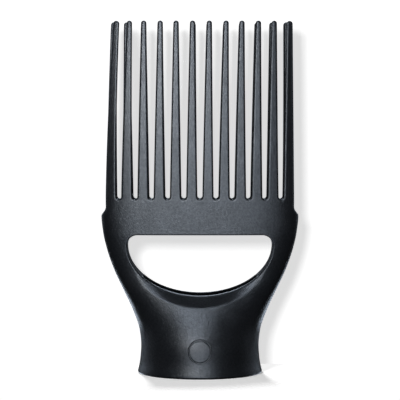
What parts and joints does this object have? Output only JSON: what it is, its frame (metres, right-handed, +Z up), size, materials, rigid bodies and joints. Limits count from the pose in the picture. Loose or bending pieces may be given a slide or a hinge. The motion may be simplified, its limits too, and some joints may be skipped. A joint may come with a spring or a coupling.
{
  "type": "hair dryer comb nozzle",
  "caption": "Comb nozzle for a hair dryer: round collar that turns on its push-on sleeve, flared neck, D-shaped window and two rows of long tapered teeth.",
  "frame": {"origin": "centre of the collar's rim, on the surface that the nozzle stands on", "axes": "+Z up the teeth, -Y towards the viewer of the front face, +X to the viewer's right"},
  "size_m": [0.0924, 0.0588, 0.1644],
  "materials": {
    "black_moulding": "satin moulded plastic with a fine spark-eroded grain",
    "duct_moulding": "matt moulded plastic",
    "sleeve_moulding": "smooth dark moulded plastic",
    "slip_plastic": "waxy natural acetal",
    "silicone": "matt silicone",
    "spring_steel": "bright spring steel"
  },
  "bodies": {
    "dryer_fitting": {"mount_sleeve": "sleeve_moulding", "slip_washer": "slip_plastic", "retaining_ring": "spring_steel", "grip_spring": "spring_steel", "inlet_seal": "silicone"},
    "nozzle": {"front_shell": "black_moulding", "rear_shell": "black_moulding", "front_air_guide": "duct_moulding", "rear_air_guide": "duct_moulding", "centre_vane": "duct_moulding", "left_vane": "duct_moulding", "right_vane": "duct_moulding", "arm_screw_left": "spring_steel", "arm_screw_right": "spring_steel", "band_screw_left": "spring_steel", "band_screw_right": "spring_steel"}
  },
  "joints": [
    {"name": "nozzle_turn", "type": "hinge", "parent": "dryer_fitting", "child": "nozzle", "pos_m": [0, 0, 0.005], "axis": [0, 0, 1], "continuous": true}
  ]
}
